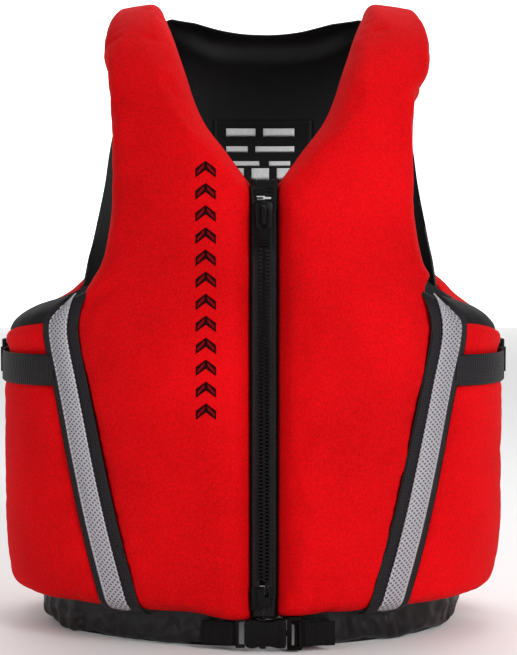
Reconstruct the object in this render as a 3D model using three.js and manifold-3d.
// A front-zip buoyancy aid in its worn shape, standing on its waist hem.
// Millimetres. +Z is up and the front faces -Y, so the wearer's left is at +X.
// The zip is drawn at X = 0, and the whole is centred over the origin at the end.
//
// Every soft panel is a layer on one torso form: the lining is at the form itself, and the foam,
// the cover, the bands and the straps lie at named heights over it. A place on the form is a
// distance round the body (from the front or the back centre), and a height up it, which goes on
// over the shoulder once the chest is passed.
import * as THREE from "three";
import Module from "manifold-3d";
import { mergeVertices } from "three/addons/utils/BufferGeometryUtils.js";

const wasm = await Module();
wasm.setup();

// ---- Driving dimensions ----------------------------------------------------------------------
const RIGHT = -1; // the wearer's right, at -X
const LEFT = 1;
const FRONT = -1;
const BACK = 1;

const HALF_WIDTH = { [RIGHT]: 194, [LEFT]: 176 }; // of the lining: the left adjuster is pulled tighter
const HALF_DEPTH = 120; // of the lining
const FLAT_ANGLE = THREE.MathUtils.degToRad(35); // where the flat front arc meets the tight side arc
const CHEST_TOP = 382; // height where the form starts to curve back to the shoulder
const SHOULDER_RISE = 135; // from there to the shoulder's crest
const BACK_SQUARE = 0.6; // under 1, the back stays upright further up than the front
const WAIST_TUCK = { [RIGHT]: 12, [LEFT]: 18 }; // the hem is drawn in at the sides
const TUCK_HEIGHT = 100;
const SHOULDER_DROP = 0.17; // slope of the crest towards the arm
const SHOULDER_DROP_FROM = 60;
const SHOULDER_ARC = 196; // length up the form from the chest's top to the crest

const LINING = 1.2; // fabric thicknesses
const COVER = 1.2;
const WEBBING = 1.5;
const LAYER_GAP = 0.9; // clearance between soft layers
const LINING_GAP = 4; // clearance between foam and lining, whose facets don't match
const FOAM_GAP = 2.2; // clearance between foam and cover
const PAD = 30; // thickness of a foam pad near its edge
const PAD_EDGE = 4.8; // thickness where the cover is sewn down
const PAD_ROUND = 14; // width of a pad's rounded edge
const FRONT_CROWN = 3; // extra thickness at the middle of a pad
const SIDE_CROWN = 2;
const BACK_CROWN = 3;

const HEM_HEIGHT = 27;
const HEM_OUT = 4.2; // height of the hem's outer sheet over the form, which leaves the belt's tunnel
const HEM_THICK = 2.2;
const PAD_BOTTOM = HEM_HEIGHT + 1;
const BELT_WIDTH = 20;
const BELT_LOW = 4;
const BELT_OUT = 2.1;
const BELT_THICK = 1.3;

const ZIP_EDGE = 9.5; // from the centre to a front pad's sewn edge
const ARM_SEAM_FRONT = 3; // from the side's middle line to the front side pad's back edge
const ARM_SEAM_BACK = 10; // and to the back pad's edge
const CREST_GAP = 8; // from the crest line to each pad's end, along the form
const BAND_WIDTH = 32;
const BAND_THICK = 1.2;
const REFLECTIVE_WIDTH = 17;
const REFLECTIVE_THICK = 0.6;
const REFLECTIVE_SHIFT = 1.5; // towards the side
const VALLEY = 3; // half the seam between a front pad and its side pad

const STRAP_WIDTH = 25;
const GUSSET = 13; // width of the black armhole edging
const GUSSET_THICK = 11;

const ZIP_HEIGHT_OVER_FORM = 15;
const CHAIN_BOTTOM = 57;
const TOOTH_PITCH = 6;
const TOOTH_GAP = 0.4; // between meshed teeth
const TOOTH_THICK = 4.4;
const CHAIN_HALF = 4.6;
const BEAD = 1.6; // the strip that carries a row of teeth
const TOOTH_REACH = 1.8; // past the centre line
const TAPE_THICK = 1.2;
const TAPE_OUTER = 10.6;
const FLARE_SLOPE = 0.15;
const PART_GAP = 0.3; // clearance between hard pieces that touch

// ---- The torso form ---------------------------------------------------------------------------
function formOf(side) {
  const spread = Math.sin(FLAT_ANGLE) + Math.cos(FLAT_ANGLE) - 1;
  const shift = (HALF_WIDTH[side] - HALF_DEPTH) / spread;
  const sideRadius = HALF_WIDTH[side] - shift * Math.sin(FLAT_ANGLE);
  const flatRadius = sideRadius + shift;
  const flatLength = flatRadius * FLAT_ANGLE;
  return {
    sideRadius,
    flatRadius,
    flatLength,
    quarter: flatLength + sideRadius * (Math.PI / 2 - FLAT_ANGLE),
    flatCentre: [0, flatRadius - HALF_DEPTH],
    sideCentre: [shift * Math.sin(FLAT_ANGLE), flatRadius - HALF_DEPTH - shift * Math.cos(FLAT_ANGLE)],
  };
}
const FORM = { [RIGHT]: formOf(RIGHT), [LEFT]: formOf(LEFT) };
const CREST = CHEST_TOP + SHOULDER_ARC; // height up the form at the shoulder's crest
const STRETCH = CREST / 578; // heights below are for a crest at 578, and follow a taller or shorter form
const FLARE_FROM = 352 * STRETCH; // the rows part above the slider
const CHAIN_TOP = 375 * STRETCH;
const STRAP_HEIGHT = 226 * STRETCH; // of the side adjuster's middle

// A point `out` mm over the form, `around` mm from the front or back centre and `up` mm up it.
function place(side, face, around, up, out) {
  const f = FORM[side];
  const flat = around <= f.flatLength;
  const angle = flat ? around / f.flatRadius : FLAT_ANGLE + (around - f.flatLength) / f.sideRadius;
  const [cx, cy] = flat ? f.flatCentre : f.sideCentre;
  const radius = flat ? f.flatRadius : f.sideRadius;
  const x = cx + radius * Math.sin(angle);
  const y = cy - radius * Math.cos(angle);
  const tilt = (Math.max(0, up - CHEST_TOP) / SHOULDER_ARC) * (Math.PI / 2);
  const square = face === BACK ? BACK_SQUARE : 1;
  const lean = Math.max(0, Math.cos(tilt));
  const point = new THREE.Vector3(x, y * lean ** square, Math.min(up, CHEST_TOP) + SHOULDER_RISE * Math.sin(tilt));
  point.z -= SHOULDER_DROP * Math.max(0, x - SHOULDER_DROP_FROM) * Math.sin(tilt) ** 2;
  const normal = new THREE.Vector3(
    SHOULDER_RISE * Math.sin(angle) * lean ** 2,
    -SHOULDER_RISE * Math.cos(angle) * lean ** (2 - square),
    -y * square * Math.cos(angle) * Math.sin(tilt),
  ).normalize();
  const tuck = WAIST_TUCK[side] * Math.sin(angle) * Math.max(0, 1 - up / TUCK_HEIGHT) ** 2;
  point.addScaledVector(normal, out - tuck);
  return new THREE.Vector3(side * point.x, face === FRONT ? point.y : -point.y, point.z);
}

// Straight-line interpolation through [height, value] stations.
function along(stations, at) {
  if (at <= stations[0][0]) return stations[0][1];
  for (let i = 1; i < stations.length; i++) {
    const [h1, v1] = stations[i];
    if (at > h1) continue;
    const [h0, v0] = stations[i - 1];
    return THREE.MathUtils.lerp(v0, v1, (at - h0) / (h1 - h0));
  }
  return stations.at(-1)[1];
}

// ---- Panel outlines, as distances round the form at each height up it --------------------------
const NECK_LOW = 375 * STRETCH; // height of the V's point
const SIDE_TOP_FRONT = 272 * STRETCH; // top of the side pad at the band, and at the side seam
const SIDE_TOP_BACK = 254 * STRETCH;
const STRAP_SHOULDER = 147; // the shoulder's outer edge

// The outlines' stations are heights on a form whose crest is at 578.
const drawn = (stations, up) => along(stations, up / STRETCH);
const armShift = (side, up) => (side === LEFT ? drawn([[440, -10], [462, -1]], up) : -8); // the left bulges out
const BAND_SHIFT = { [RIGHT]: -3, [LEFT]: -19 };
const neckEdge = (up) =>
  drawn([[375, ZIP_EDGE], [388, 20], [402, 31], [420, 46], [440, 56], [462, 63], [490, 71], [541, 82], [578, 87]], up);
const armEdge = (side, up) =>
  drawn([[298, 150], [312, 141], [335, 135], [365, 131], [415, 131], [455, 136], [490, 143], [578, STRAP_SHOULDER]], up)
  + armShift(side, up);
const bandLine = (side, up) =>
  drawn([[27, 109], [120, 132], [215, 152], [255, 160], [275, 158], [300, 149]], up) + BAND_SHIFT[side];
const backArmEdge = (side, up) =>
  drawn([[292, 184], [315, 172], [350, 162], [390, 153], [440, 147], [578, STRAP_SHOULDER]], up)
  + armShift(side, up);
const ARM_LOW = 292 * STRETCH; // where the armhole leaves the band
const frontPadEdge = (side, up) => {
  const seam = bandLine(side, up) - VALLEY;
  return up < ARM_LOW ? seam : Math.min(seam + up - ARM_LOW, armEdge(side, up));
};
const sideTop = (share) => THREE.MathUtils.lerp(SIDE_TOP_FRONT, SIDE_TOP_BACK, share);
const NECK_BACK = 534 * STRETCH; // height up the form of the back neckline's middle
const NECK_FACING = 22; // how much lower the back pad's neckline is than the lining's
const NECK_BACK_HALF = 82;

// ---- Layers -----------------------------------------------------------------------------------
// Grid lines from 0 to 1, crowded towards both ends so that they follow a pad's rounded edge.
function lines(count, crowd = 0.75) {
  return Array.from({ length: count + 1 }, (_, i) => {
    const share = i / count;
    return share - (crowd * Math.sin(2 * Math.PI * share)) / (2 * Math.PI);
  });
}

// Rows at a panel's rounded ends and at the given heights between, as shares of its height.
const END_STEPS = [0, 0.12, 0.4, 1];
function rowsAt(low, high, heights) {
  const first = END_STEPS.map((step) => low + step * PAD_ROUND);
  const last = END_STEPS.map((step) => high - step * PAD_ROUND).reverse();
  return [...first, ...heights, ...last].map((height) => (height - low) / (high - low));
}
const scaled = (heights) => heights.map((height) => height * STRETCH);
const SHOULDER_HEIGHTS = scaled([400, 424, 448, 472, 496, 520, 540]);

// A closed slab: a box with segments, whose corners go to at(across, up, top) for grid lines
// `inset` cells in from the panel's outline.
function slab(across, up, at, inset = 0) {
  const nu = across.length - 1 - 2 * inset;
  const nv = up.length - 1 - 2 * inset;
  const box = new THREE.BoxGeometry(nu, nv, 1, nu, nv, 1);
  // A box splits its two faces along opposite diagonals: turned here, so that stacked layers nest.
  const { start, count } = box.groups.at(-1);
  for (let i = start; i < start + count; i += 6) {
    const [a, b, d, , c] = box.index.array.slice(i, i + 6);
    box.index.array.set([a, b, c, a, c, d], i);
  }
  const corners = box.getAttribute("position");
  for (let i = 0; i < corners.count; i++) {
    const column = Math.round(corners.getX(i) + nu / 2) + inset;
    const row = Math.round(corners.getY(i) + nv / 2) + inset;
    const point = at(across[column], up[row], corners.getZ(i) > 0);
    corners.setXYZ(i, point.x, point.y, point.z);
  }
  return facingOut(box);
}

// The geometry as one closed surface of bare corners, turned so that its faces point out.
function facingOut(geometry) {
  const bare = geometry.index ? geometry.toNonIndexed() : geometry;
  const merged = mergeVertices(
    new THREE.BufferGeometry().setAttribute("position", bare.getAttribute("position")), 1e-3);
  const corner = merged.getAttribute("position");
  const index = merged.index.array;
  const [a, b, c] = [new THREE.Vector3(), new THREE.Vector3(), new THREE.Vector3()];
  let volume = 0;
  for (let i = 0; i < index.length; i += 3) {
    a.fromBufferAttribute(corner, index[i]);
    b.fromBufferAttribute(corner, index[i + 1]);
    c.fromBufferAttribute(corner, index[i + 2]);
    volume += a.dot(b.cross(c));
  }
  if (volume < 0) for (let i = 0; i < index.length; i += 3) [index[i], index[i + 1]] = [index[i + 1], index[i]];
  merged.computeVertexNormals();
  return merged;
}

const roundedRise = (distance) => Math.sqrt(1 - (1 - Math.min(distance / PAD_ROUND, 1)) ** 2);

// The height of a pad's cover over the form, from its place between the panel's four edges.
function padHeight(s, v, width, height, crown) {
  const edge = roundedRise(Math.min(s, 1 - s) * width) * roundedRise(Math.min(v, 1 - v) * height);
  const full = PAD + crown * Math.sin(Math.PI * s) * Math.sin(Math.PI * v);
  return PAD_EDGE + (full - PAD_EDGE) * edge;
}

// A panel: where its (s, v) lies on the form, and how high its cover stands there.
function panel(side, face, aroundOf, upOf, size, crown) {
  return {
    point: (s, v, out) => place(side, face, aroundOf(s, upOf(s, v)), upOf(s, v), out),
    cover: (s, v) => padHeight(s, v, size[0], size[1], crown),
  };
}
const sheetOf = (p, across, up, bottom, thick) =>
  slab(across, up, (s, v, top) => p.point(s, v, bottom + (top ? thick : 0)));
const coverOf = (p, across, up) =>
  slab(across, up, (s, v, top) => p.point(s, v, p.cover(s, v) - (top ? 0 : COVER)));
const FOAM_BOTTOM = LINING + LINING_GAP;
const foamTop = (p, s, v) => p.cover(s, v) - COVER - FOAM_GAP;

// ---- Materials ----------------------------------------------------------------------------------
const finish = (color, roughness, metalness = 0) => new THREE.MeshStandardMaterial({ color, roughness, metalness });
const redNylon = finish(0xc90a14, 0.85);
const blackNylon = finish(0x16120f, 0.8);
const blackWebbing = finish(0x1a1718, 0.75);
const foam = finish(0xd8d8d0, 0.95);
const reflective = finish(0xb9b7ba, 0.35);
const acetal = finish(0x121212, 0.35);
const printedLabel = finish(0x181818, 0.7);

const vest = new THREE.Group();
function add(name, geometry, material) {
  const mesh = new THREE.Mesh(geometry, material);
  mesh.name = name;
  vest.add(mesh);
  return mesh;
}

// ---- Hard pieces: flat outlines, extruded -------------------------------------------------------
function roundedOutline(x0, z0, x1, z1, radius, Kind = THREE.Shape) {
  const outline = new Kind();
  outline.moveTo(x0 + radius, z0);
  outline.lineTo(x1 - radius, z0).absarc(x1 - radius, z0 + radius, radius, -Math.PI / 2, 0);
  outline.lineTo(x1, z1 - radius).absarc(x1 - radius, z1 - radius, radius, 0, Math.PI / 2);
  outline.lineTo(x0 + radius, z1).absarc(x0 + radius, z1 - radius, radius, Math.PI / 2, Math.PI);
  outline.lineTo(x0, z0 + radius).absarc(x0 + radius, z0 + radius, radius, Math.PI, 1.5 * Math.PI);
  return outline;
}

// An outline drawn in X and Z, `thick` through Y, centred on y.
function plate(outline, y, thick) {
  const geometry = new THREE.ExtrudeGeometry(outline, { depth: thick, bevelEnabled: false, curveSegments: 3 });
  return facingOut(geometry.rotateX(Math.PI / 2).translate(0, y + thick / 2, 0));
}

const solidOf = (geometry) =>
  new wasm.Manifold(new wasm.Mesh({
    numProp: 3,
    vertProperties: geometry.getAttribute("position").array,
    triVerts: new Uint32Array(geometry.index.array),
  }));
function geometryOf(solid) {
  const mesh = solid.getMesh();
  const geometry = new THREE.BufferGeometry()
    .setAttribute("position", new THREE.BufferAttribute(new Float32Array(mesh.vertProperties), 3))
    .setIndex([...mesh.triVerts]);
  geometry.computeVertexNormals();
  return geometry;
}
const joined = (...pieces) => geometryOf(pieces.map(solidOf).reduce((a, b) => a.add(b)));
const common = (a, b) => geometryOf(solidOf(a).intersect(solidOf(b)));

const nameOf = (piece, side) => piece + (side === RIGHT ? "_right" : "_left");

// ---- The back -----------------------------------------------------------------------------------
// The back panel is laid out from -1 at the wearer's right to 1 at the left.
const backEdge = (side, up) => {
  const seam = FORM[side].quarter - ARM_SEAM_BACK;
  if (up <= SIDE_TOP_BACK) return seam;
  if (up >= ARM_LOW) return Math.min(seam, backArmEdge(side, up));
  return THREE.MathUtils.lerp(seam, backArmEdge(side, ARM_LOW), (up - SIDE_TOP_BACK) / (ARM_LOW - SIDE_TOP_BACK));
};
const BACK_TOP = CREST - 1.3; // the same clearance at the crest, since the back is squarer
function backTop(share, neck) {
  const around = Math.abs(share) * STRAP_SHOULDER;
  const dip = around < NECK_BACK_HALF ? Math.cos((Math.PI / 2) * (around / NECK_BACK_HALF)) : 0;
  return BACK_TOP - (BACK_TOP - neck) * Math.sqrt(dip);
}
function backPanel(from, neck, crown) {
  const upOf = (s, v) => THREE.MathUtils.lerp(from, backTop(2 * s - 1, neck), v);
  const width = FORM[RIGHT].quarter + FORM[LEFT].quarter;
  return {
    point: (s, v, out) => {
      const share = 2 * s - 1;
      const side = share < 0 ? RIGHT : LEFT;
      const up = upOf(s, v);
      return place(side, BACK, Math.abs(share) * backEdge(side, up), up, out);
    },
    cover: (s, v) => padHeight(s, v, width * 0.8, BACK_TOP - from, crown),
  };
}
const BACK_COLUMNS = lines(16, 0.6);
const FOLD_HEIGHT = 322 * STRETCH; // of the crease where the lower foam block meets the upper
const FOLD_DIP = 9;
const FOLD_WIDTH = 20;
const BACK_ROWS = rowsAt(PAD_BOTTOM, BACK_TOP,
  [...scaled([70, 120, 200, 255, 285]), FOLD_HEIGHT - 12, FOLD_HEIGHT, FOLD_HEIGHT + 12, 360 * STRETCH,
    ...SHOULDER_HEIGHTS]);

function addBack() {
  const whole = backPanel(PAD_BOTTOM, NECK_BACK - NECK_FACING, BACK_CROWN);
  const folded = {
    point: whole.point,
    cover: (s, v) => {
      const fromFold = PAD_BOTTOM + v * (BACK_TOP - PAD_BOTTOM) - FOLD_HEIGHT;
      const dip = FOLD_DIP * Math.exp(-((fromFold / FOLD_WIDTH) ** 2));
      const height = whole.cover(s, v);
      return Math.max(Math.min(height, PAD_EDGE), height - dip);
    },
  };
  add("back_cover", coverOf(folded, BACK_COLUMNS, BACK_ROWS), redNylon);
  const liningRows = [0, HEM_HEIGHT, ...scaled([70, 120, 200, 255, 285, 322, 360]), ...SHOULDER_HEIGHTS,
    556 * STRETCH, BACK_TOP];
  const liningPanel = backPanel(0, NECK_BACK, 0);
  add("back_lining", sheetOf(liningPanel, BACK_COLUMNS, liningRows.map((h) => h / BACK_TOP), 0, LINING), blackNylon);
  const foldRow = END_STEPS.length + 6;
  const blocks = { back_foam_lower: [2, foldRow - 1], back_foam_upper: [foldRow + 1, BACK_ROWS.length - 3] };
  for (const [name, [first, last]] of Object.entries(blocks)) {
    const rows = BACK_ROWS.slice(first, last + 1);
    const columns = BACK_COLUMNS.slice(1, -1);
    add(name, slab(columns, rows, (s, v, top) =>
      folded.point(s, v, top ? foamTop(folded, s, v) : FOAM_BOTTOM)), foam);
  }
}

// A sheet round the back near the hem, between two heights.
function backStrip(low, high, bottom, thick) {
  return slab(BACK_COLUMNS, [0, 1], (s, v, top) => {
    const share = 2 * s - 1;
    const side = share < 0 ? RIGHT : LEFT;
    const around = Math.abs(share) * (FORM[side].quarter - ARM_SEAM_BACK);
    return place(side, BACK, around, v ? high : low, bottom + (top ? thick : 0));
  });
}

const LABEL_HALF = 46;
const LABEL_LOW = 338 * STRETCH;
const LABEL_HIGH = 440 * STRETCH;
const LABEL_GAP = 1.6;
const LABEL_THICK = 0.5;

function addBackTrim() {
  add("back_hem", backStrip(0, HEM_HEIGHT, HEM_OUT, HEM_THICK), blackNylon);
  add("back_waist_belt", backStrip(BELT_LOW, BELT_LOW + BELT_WIDTH, BELT_OUT, BELT_THICK), blackWebbing);
  add("size_label", slab(lines(6, 0), lines(4, 0), (s, v, top) => {
    const share = 2 * s - 1;
    const up = THREE.MathUtils.lerp(LABEL_LOW, LABEL_HIGH, v);
    return place(share < 0 ? RIGHT : LEFT, BACK, Math.abs(share) * LABEL_HALF, up, -LABEL_GAP - (top ? LABEL_THICK : 0));
  }), printedLabel);
}

// ---- The two fronts -------------------------------------------------------------------------------
const FRONT_COLUMNS = rowsAt(0, 110, [55]);
const SHOULDER_END = CREST - CREST_GAP;
const FRONT_ROWS = rowsAt(PAD_BOTTOM, SHOULDER_END,
  [...scaled([70, 120, 215, 260, 292, 315, 345, 375, 388]), ...SHOULDER_HEIGHTS]);
const SIDE_COLUMNS = rowsAt(0, 95, [30, 47, 65]);
const SIDE_ROWS = rowsAt(PAD_BOTTOM, SIDE_TOP_BACK, scaled([70, 120, 190]));
const FOAM_INSET = 2; // grid lines from a pad's outline to its foam
const FOAM_SPLIT = 15; // height over the form where the two foam sheets meet

function addFrontPad(side) {
  const top = SHOULDER_END;
  const frontPad = panel(side, FRONT,
    (s, up) => THREE.MathUtils.lerp(neckEdge(up), frontPadEdge(side, up), s),
    (s, v) => THREE.MathUtils.lerp(PAD_BOTTOM, top, v),
    [110, top - PAD_BOTTOM], FRONT_CROWN);
  add(nameOf("front_cover", side), coverOf(frontPad, FRONT_COLUMNS, FRONT_ROWS), redNylon);
  add(nameOf("front_foam_inner", side), slab(FRONT_COLUMNS, FRONT_ROWS, (s, v, up) =>
    frontPad.point(s, v, up ? FOAM_SPLIT - LAYER_GAP / 2 : FOAM_BOTTOM), FOAM_INSET), foam);
  add(nameOf("front_foam_outer", side), slab(FRONT_COLUMNS, FRONT_ROWS, (s, v, up) =>
    frontPad.point(s, v, up ? foamTop(frontPad, s, v) : FOAM_SPLIT + LAYER_GAP / 2), FOAM_INSET), foam);
}

function addSidePad(side) {
  const seam = FORM[side].quarter - ARM_SEAM_FRONT;
  const sidePad = panel(side, FRONT,
    (s, up) => THREE.MathUtils.lerp(bandLine(side, up) + VALLEY, seam, s),
    (s, v) => THREE.MathUtils.lerp(PAD_BOTTOM, sideTop(s), v),
    [95, SIDE_TOP_BACK - PAD_BOTTOM], SIDE_CROWN);
  add(nameOf("side_cover", side), coverOf(sidePad, SIDE_COLUMNS, SIDE_ROWS), redNylon);
  add(nameOf("side_foam", side), slab(SIDE_COLUMNS, SIDE_ROWS, (s, v, up) =>
    sidePad.point(s, v, up ? foamTop(sidePad, s, v) : FOAM_BOTTOM), FOAM_INSET), foam);
  add(nameOf("armhole_gusset", side), slab(SIDE_COLUMNS, lines(2, 0), (s, v, up) => {
    const height = sideTop(s) + 1 + v * GUSSET;
    const around = THREE.MathUtils.lerp(bandLine(side, SIDE_TOP_FRONT) + VALLEY, seam, s);
    return place(side, FRONT, around, height, FOAM_BOTTOM + (up ? GUSSET_THICK * Math.sin(Math.PI * (0.15 + 0.7 * v)) : 0));
  }), blackNylon);
}

const LINING_ROWS = [0, HEM_HEIGHT, ...scaled([70, 120, 215, 254, 272, 292, 312, 345, 375, 388]),
  ...SHOULDER_HEIGHTS, 556 * STRETCH, SHOULDER_END].map((height) => height / SHOULDER_END);

const LINING_TURN = 312 * STRETCH; // where the lining's edge joins the armhole's
// The lining runs behind both pads, from the zip round to the side seam, and up to the shoulder.
function addFrontLining(side) {
  const seam = FORM[side].quarter - ARM_SEAM_FRONT;
  const top = SHOULDER_END;
  const outer = (up) => {
    if (up <= SIDE_TOP_BACK) return seam;
    if (up > LINING_TURN) return armEdge(side, up);
    return THREE.MathUtils.lerp(seam, armEdge(side, LINING_TURN), (up - SIDE_TOP_BACK) / (LINING_TURN - SIDE_TOP_BACK));
  };
  const whole = panel(side, FRONT,
    (s, up) => THREE.MathUtils.lerp(neckEdge(up), outer(up), s),
    (s, v) => v * top, [200, top], 0);
  add(nameOf("front_lining", side), sheetOf(whole, lines(13, 0), LINING_ROWS, 0, LINING), blackNylon);
}

const HEM_FRONT_END = 20;
const BELT_FRONT_END = 46;
function frontStrip(side, from, low, high, bottom, thick, columns, to = FORM[side].quarter - ARM_SEAM_FRONT) {
  return slab(lines(columns, 0), [0, 1], (s, v, top) =>
    place(side, FRONT, THREE.MathUtils.lerp(from, to, s), v ? high : low, bottom + (top ? thick : 0)));
}

// A band that follows the seam between the front pad and the side pad.
function seamBand(side, width, shift, bottom, thick, low, high) {
  return slab([0, 0.5, 1], lines(12, 0), (s, v, top) => {
    const up = THREE.MathUtils.lerp(low, high, v);
    return place(side, FRONT, bandLine(side, up) + shift + (s - 0.5) * width, up, bottom + (top ? thick : 0));
  });
}

const BAND_OUT = PAD + FRONT_CROWN / 2 + 0.4;
const STRAP_OUT = PAD + SIDE_CROWN + LAYER_GAP;
const BAND_TOP = 294 * STRETCH;

function addFrontTrim(side) {
  add(nameOf("hem", side), frontStrip(side, HEM_FRONT_END, 0, HEM_HEIGHT, HEM_OUT, HEM_THICK, 18), blackNylon);
  add(nameOf("waist_belt", side),
    frontStrip(side, BELT_FRONT_END, BELT_LOW, BELT_LOW + BELT_WIDTH, BELT_OUT, BELT_THICK, 16), blackWebbing);
  add(nameOf("band_webbing", side), seamBand(side, BAND_WIDTH, 0, BAND_OUT, BAND_THICK, PAD_BOTTOM, BAND_TOP), blackWebbing);
  add(nameOf("reflective_tape", side), seamBand(side, REFLECTIVE_WIDTH, REFLECTIVE_SHIFT,
    BAND_OUT + BAND_THICK + LAYER_GAP, REFLECTIVE_THICK, PAD_BOTTOM + 2, BAND_TOP - 4), reflective);
  const strapStart = bandLine(side, STRAP_HEIGHT) + BAND_WIDTH / 2 + 3;
  add(nameOf("side_strap", side), frontStrip(side, strapStart, STRAP_HEIGHT - STRAP_WIDTH / 2,
    STRAP_HEIGHT + STRAP_WIDTH / 2, STRAP_OUT, WEBBING, 6), blackWebbing);
}

// ---- Side adjusters: a ladder lock on each side, and the rear strap behind it -------------------------
const LOCK_HEIGHT = STRAP_WIDTH + 11;
const LOCK_LENGTH = 22;
const LOCK_THICK = 3.4;
const LOCK_FRONT_Y = 12;
const LOCK_SLOT = STRAP_WIDTH + 1.5; // room for the strap to slide
const LOCK_OUT = 1.2; // from the strap's inner face to the lock's inner face
const lockX = (side) => HALF_WIDTH[side] + STRAP_OUT + LOCK_OUT + LOCK_THICK / 2;
const LOCK_BARS = 3;

function addAdjuster(side) {
  const y0 = LOCK_FRONT_Y;
  const y1 = LOCK_FRONT_Y + LOCK_LENGTH;
  const frame = roundedOutline(y0, STRAP_HEIGHT - LOCK_HEIGHT / 2, y1, STRAP_HEIGHT + LOCK_HEIGHT / 2, 3);
  const slot = (LOCK_LENGTH - 3 * LOCK_BARS) / 2;
  for (const start of [y0 + LOCK_BARS, y0 + 2 * LOCK_BARS + slot])
    frame.holes.push(roundedOutline(
      start, STRAP_HEIGHT - LOCK_SLOT / 2, start + slot, STRAP_HEIGHT + LOCK_SLOT / 2, 1, THREE.Path));
  const lock = plate(frame, 0, LOCK_THICK).rotateZ(Math.PI / 2).translate(side * lockX(side), 0, 0);
  add(nameOf("ladder_lock", side), lock, acetal);

  // The rear strap is sewn to the back pad, and comes forward to the lock's rear bar.
  const rearStart = LOCK_FRONT_Y + LOCK_LENGTH + 3;
  add(nameOf("rear_strap", side), slab(lines(6, 0), [0, 1], (s, v, top) => {
    const around = FORM[side].quarter - rearStart - s * REAR_STRAP_LENGTH;
    return place(side, BACK, around, STRAP_HEIGHT + (v - 0.5) * STRAP_WIDTH, REAR_STRAP_OUT + (top ? WEBBING : 0));
  }), blackWebbing);
}
const REAR_STRAP_LENGTH = 62;
const REAR_STRAP_OUT = PAD + BACK_CROWN + LAYER_GAP;

// ---- The zip ------------------------------------------------------------------------------------------
const ZIP_Y = -HALF_DEPTH - ZIP_HEIGHT_OVER_FORM;
const TAPE_BOTTOM = PAD_BOTTOM + 2;
const TAPE_TOP = 381 * STRETCH;
const flare = (z) => FLARE_SLOPE * Math.max(0, z - FLARE_FROM);
const TAPE_ROWS = [0, (FLARE_FROM - TAPE_BOTTOM) / (TAPE_TOP - TAPE_BOTTOM), 1];
const ROW_START = CHAIN_HALF + PART_GAP; // where the tape starts, outside the row of teeth

function addZipHalf(side) {
  add(nameOf("zip_tape", side), slab([0, 1], TAPE_ROWS, (s, v, top) => {
    const z = THREE.MathUtils.lerp(TAPE_BOTTOM, TAPE_TOP, v);
    const x = s ? TAPE_OUTER : ROW_START + flare(z);
    return new THREE.Vector3(side * x, ZIP_Y + (top ? -1 : 1) * (TAPE_THICK / 2), z);
  }), blackWebbing);

  // A comb: a bead with one tooth each pitch, set half a pitch higher on the right.
  const start = CHAIN_BOTTOM + (side === RIGHT ? TOOTH_PITCH / 2 : 0);
  const toothHeight = TOOTH_PITCH / 2 - TOOTH_GAP;
  const count = Math.floor((CHAIN_TOP - CHAIN_BOTTOM) / TOOTH_PITCH);
  const comb = new THREE.Shape();
  const to = (x, z) => comb.lineTo(x + flare(z), z);
  comb.moveTo(CHAIN_HALF, start);
  for (let i = 0; i < count; i++) {
    const z = start + i * TOOTH_PITCH;
    to(i ? CHAIN_HALF - BEAD : -TOOTH_REACH, z);
    if (i) to(-TOOTH_REACH, z);
    to(-TOOTH_REACH, z + toothHeight);
    to(CHAIN_HALF - BEAD, z + toothHeight);
  }
  to(CHAIN_HALF, start + (count - 1) * TOOTH_PITCH + toothHeight);
  to(CHAIN_HALF, FLARE_FROM);
  const teeth = plate(comb, ZIP_Y, TOOTH_THICK).scale(side, 1, 1);
  add(nameOf("zip_teeth", side), facingOut(teeth), acetal);

  const stopLow = CHAIN_TOP + 1.5;
  add(nameOf("zip_top_stop", side), slab([0, 1], [0, 1], (s, v, top) => {
    const z = stopLow + v * 3.5;
    const x = flare(z) + (s ? CHAIN_HALF : CHAIN_HALF - 3);
    return new THREE.Vector3(side * x, ZIP_Y + (top ? -1 : 1) * (TOOTH_THICK / 2), z);
  }), acetal);
}

const BOX_LOW = 43;
const BOX_HIGH = 52;
const BOX_HALF = 5.6;
const BOX_THICK = 6.4;
const PIN_HALF = 1.3;
function addZipBottom() {
  // The box takes the left row's pin in a slot that is open at the top.
  const outline = new THREE.Shape();
  outline.moveTo(-BOX_HALF + 1, BOX_LOW);
  outline.lineTo(BOX_HALF - 1, BOX_LOW);
  outline.lineTo(BOX_HALF - 1, BOX_HIGH);
  outline.lineTo(PIN_HALF + 2 + PART_GAP, BOX_HIGH);
  outline.lineTo(PIN_HALF + 2 + PART_GAP, BOX_LOW + 2);
  outline.lineTo(-PIN_HALF + 2 - PART_GAP, BOX_LOW + 2);
  outline.lineTo(-PIN_HALF + 2 - PART_GAP, BOX_HIGH);
  outline.lineTo(-BOX_HALF + 1, BOX_HIGH);
  outline.closePath();
  const slotMiddle = 2;
  const box = plate(outline, ZIP_Y, BOX_THICK);
  add("zip_insertion_box", box, acetal);
  const pin = roundedOutline(slotMiddle - PIN_HALF, BOX_LOW + 2.5, slotMiddle + PIN_HALF, CHAIN_BOTTOM - PART_GAP, 0.8);
  add("zip_insertion_pin", plate(pin, ZIP_Y, 3), acetal);
}

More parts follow.
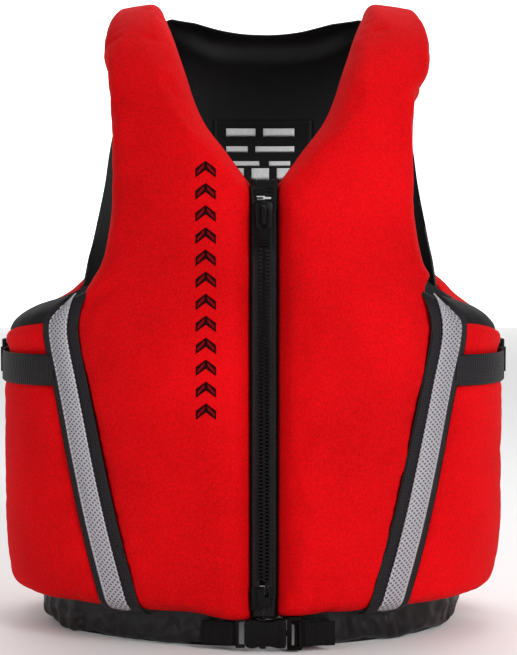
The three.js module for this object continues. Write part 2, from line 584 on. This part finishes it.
const SLIDER_HEIGHT = 22;
const SLIDER_LOW = 341 * STRETCH;
const SLIDER_WING = 1.2;
const SLIDER_PLATE = 2.2;
const SLIDER_CLEAR = 0.5;
const BAIL_WIDTH = 3.2;
const BAIL_OUT = 5.6; // how far the bail stands out of the slider
const BAIL_BAR = 1.8;
const PULL_WIDTH = 8;
const PULL_LENGTH = 31;
const PULL_THICK = 1.6;
const PULL_SLOT = 4.4;
function addSlider() {
  const high = SLIDER_LOW + SLIDER_HEIGHT;
  const half = (z) => CHAIN_HALF + PART_GAP * 2 + flare(z);
  const wedge = () => {
    const outline = new THREE.Shape();
    const w = (z) => half(z) + SLIDER_WING;
    outline.moveTo(-w(SLIDER_LOW) + 1, SLIDER_LOW);
    outline.lineTo(w(SLIDER_LOW) - 1, SLIDER_LOW);
    outline.lineTo(w(SLIDER_LOW), SLIDER_LOW + 1.5);
    outline.lineTo(w(FLARE_FROM), FLARE_FROM);
    outline.lineTo(w(high), high - 4);
    outline.lineTo(w(high) - 3, high);
    outline.lineTo(-w(high) + 3, high);
    outline.lineTo(-w(high), high - 4);
    outline.lineTo(-w(FLARE_FROM), FLARE_FROM);
    outline.lineTo(-w(SLIDER_LOW), SLIDER_LOW + 1.5);
    outline.closePath();
    return outline;
  };
  const toothFront = ZIP_Y - TOOTH_THICK / 2;
  const frontMiddle = toothFront - SLIDER_CLEAR - SLIDER_PLATE / 2;
  const front = plate(wedge(), frontMiddle, SLIDER_PLATE);

  // The bail is an arch seen from the side, standing on the slider's face.
  const face = frontMiddle - SLIDER_PLATE / 2;
  const arch = new THREE.Shape();
  const low = SLIDER_LOW + 2.5;
  const top = high - 3.5;
  arch.moveTo(0.5, low);
  arch.lineTo(-BAIL_OUT + 2, low).lineTo(-BAIL_OUT, low + 2);
  arch.lineTo(-BAIL_OUT, top - 2).lineTo(-BAIL_OUT + 2, top).lineTo(0.5, top);
  arch.lineTo(0.5, top - BAIL_BAR).lineTo(-BAIL_OUT + 2.4, top - BAIL_BAR).lineTo(-BAIL_OUT + BAIL_BAR, top - 3);
  arch.lineTo(-BAIL_OUT + BAIL_BAR, low + 3).lineTo(-BAIL_OUT + 2.4, low + BAIL_BAR).lineTo(0.5, low + BAIL_BAR);
  arch.closePath();
  const bail = facingOut(new THREE.ExtrudeGeometry(arch, { depth: BAIL_WIDTH, bevelEnabled: false })
    .applyMatrix4(new THREE.Matrix4().makeBasis(
      new THREE.Vector3(0, 1, 0), new THREE.Vector3(0, 0, 1), new THREE.Vector3(1, 0, 0)))
    .translate(-BAIL_WIDTH / 2, face, 0));
  add("slider_body", joined(front, bail), acetal);
  const backMiddle = ZIP_Y + TOOTH_THICK / 2 + SLIDER_CLEAR + SLIDER_PLATE / 2;
  add("slider_back_plate", plate(wedge(), backMiddle, SLIDER_PLATE), acetal);

  // The pull hangs from the bail: its cross-bar lies between the bail and the slider's face.
  const barTop = top - BAIL_BAR - 0.8;
  const tab = roundedOutline(-PULL_WIDTH / 2, barTop - PULL_LENGTH, PULL_WIDTH / 2, barTop, 1.5);
  tab.holes.push(roundedOutline(-PULL_SLOT / 2, low - 1.5, PULL_SLOT / 2, barTop - 1.8, 0.5, THREE.Path));
  const pullY = face - (BAIL_OUT - BAIL_BAR) / 2;
  add("slider_pull", plate(tab, pullY, PULL_THICK), acetal);
}

// ---- The waist buckle ------------------------------------------------------------------------------------
const BUCKLE_Z = 15;
const BUCKLE_Y = -HALF_DEPTH - 15;
const SOCKET_FROM = -16;
const SOCKET_TO = 18;
const SOCKET_HALF = BELT_WIDTH / 2 + 2;
const SOCKET_THICK = 9;
const SOCKET_WALL = 1.8;
const SOCKET_END = 4;
const LOOP = 7; // the webbing bar's reach past the socket
const PLUG_BASE = 13;
const PLUG_HALF = BELT_WIDTH / 2 + 3.5;
const PLUG_THICK = 5;
const PRONG_HEAD = -6;
const PRONG_THICK = 4;
const TONGUE_HALF = 2.2;
const WEB_SLOT_HALF = BELT_WIDTH / 2 + 0.4;

function addSocket() {
  const low = BUCKLE_Z - SOCKET_HALF;
  const high = BUCKLE_Z + SOCKET_HALF;
  const channel = new THREE.Shape(); // the socket's section in X and Y: two walls and a closed end
  const half = SOCKET_THICK / 2;
  channel.moveTo(SOCKET_FROM, -half);
  channel.lineTo(SOCKET_TO, -half).lineTo(SOCKET_TO, -half + SOCKET_WALL);
  channel.lineTo(SOCKET_FROM + SOCKET_END, -half + SOCKET_WALL).lineTo(SOCKET_FROM + SOCKET_END, half - SOCKET_WALL);
  channel.lineTo(SOCKET_TO, half - SOCKET_WALL).lineTo(SOCKET_TO, half);
  channel.lineTo(SOCKET_FROM, half);
  channel.closePath();
  const walls = facingOut(new THREE.ExtrudeGeometry(channel, { depth: high - low, bevelEnabled: false })
    .translate(0, BUCKLE_Y, low));
  const outline = plate(roundedOutline(SOCKET_FROM, low, SOCKET_TO, high, 4), BUCKLE_Y, SOCKET_THICK + 2);
  const bar = roundedOutline(SOCKET_FROM - LOOP, low, SOCKET_FROM + 2, high, 2);
  bar.holes.push(roundedOutline(SOCKET_FROM - LOOP + 2.6, BUCKLE_Z - WEB_SLOT_HALF + 1, SOCKET_FROM - 0.6,
    BUCKLE_Z + WEB_SLOT_HALF - 1, 0.6, THREE.Path));
  add("buckle_socket", joined(common(walls, outline), plate(bar, BUCKLE_Y, 4.5)), acetal);
}

function addPlug() {
  const base = roundedOutline(SOCKET_TO + PART_GAP * 2, BUCKLE_Z - PLUG_HALF, SOCKET_TO + PLUG_BASE, BUCKLE_Z + PLUG_HALF, 2.5);
  for (const start of [SOCKET_TO + 4.4, SOCKET_TO + 8.6])
    base.holes.push(roundedOutline(start, BUCKLE_Z - WEB_SLOT_HALF, start + 2.2, BUCKLE_Z + WEB_SLOT_HALF, 0.5, THREE.Path));
  const tongue = roundedOutline(-4, BUCKLE_Z - TONGUE_HALF, SOCKET_TO + 2, BUCKLE_Z + TONGUE_HALF, 0.8);
  add("buckle_plug", joined(plate(base, BUCKLE_Y, PLUG_THICK), plate(tongue, BUCKLE_Y, 3)), acetal);

  for (const up of [1, -1]) {
    const z = (height) => BUCKLE_Z + up * height;
    const arm = new THREE.Shape();
    arm.moveTo(SOCKET_TO, z(9.4));
    arm.lineTo(2, z(8.6)).lineTo(1.4, z(SOCKET_HALF + 0.4)).lineTo(-3, z(SOCKET_HALF + 0.6));
    arm.lineTo(PRONG_HEAD, z(9)).lineTo(PRONG_HEAD + 0.6, z(6.6)).lineTo(2, z(6.2)).lineTo(SOCKET_TO, z(6.6));
    arm.closePath();
    add(up > 0 ? "buckle_prong_upper" : "buckle_prong_lower", plate(arm, BUCKLE_Y, PRONG_THICK), acetal);
  }
}

// Short webbing ends: one sewn in front of the right hem, one free to follow the plug.
function addBuckleWebbing() {
  const strip = (name, x0, x1, y0, y1) =>
    add(name, slab(lines(3, 0), [0, 1], (s, v, top) => new THREE.Vector3(
      THREE.MathUtils.lerp(x0, x1, s),
      THREE.MathUtils.lerp(y0, y1, s) + (top ? -1 : 1) * (WEBBING / 2),
      BUCKLE_Z + (v - 0.5) * (BELT_WIDTH - 2))), blackWebbing);
  const hemFace = -HALF_DEPTH - HEM_OUT - HEM_THICK - WEBBING / 2 - PART_GAP;
  const barEnd = SOCKET_FROM - LOOP - PART_GAP;
  strip("belt_end_right", barEnd, barEnd - 26, BUCKLE_Y + 2, hemFace + 0.4);
  const plugEnd = SOCKET_TO + PLUG_BASE + PART_GAP;
  strip("belt_end_left", plugEnd, plugEnd + 26, BUCKLE_Y, BUCKLE_Y + 3);
}

// ---- Assembly ------------------------------------------------------------------------------------------
addBack();
addBackTrim();
for (const side of [RIGHT, LEFT]) {
  addFrontPad(side);
  addSidePad(side);
  addFrontLining(side);
  addFrontTrim(side);
  addAdjuster(side);
  addZipHalf(side);
}
addZipBottom();
addSlider();
addSocket();
addPlug();
addBuckleWebbing();

// The origin goes to the ground, under the middle of the whole.
const extent = new THREE.Box3().setFromObject(vest);
const middle = extent.getCenter(new THREE.Vector3());
vest.position.set(-middle.x, -middle.y, -extent.min.z);

export default vest;
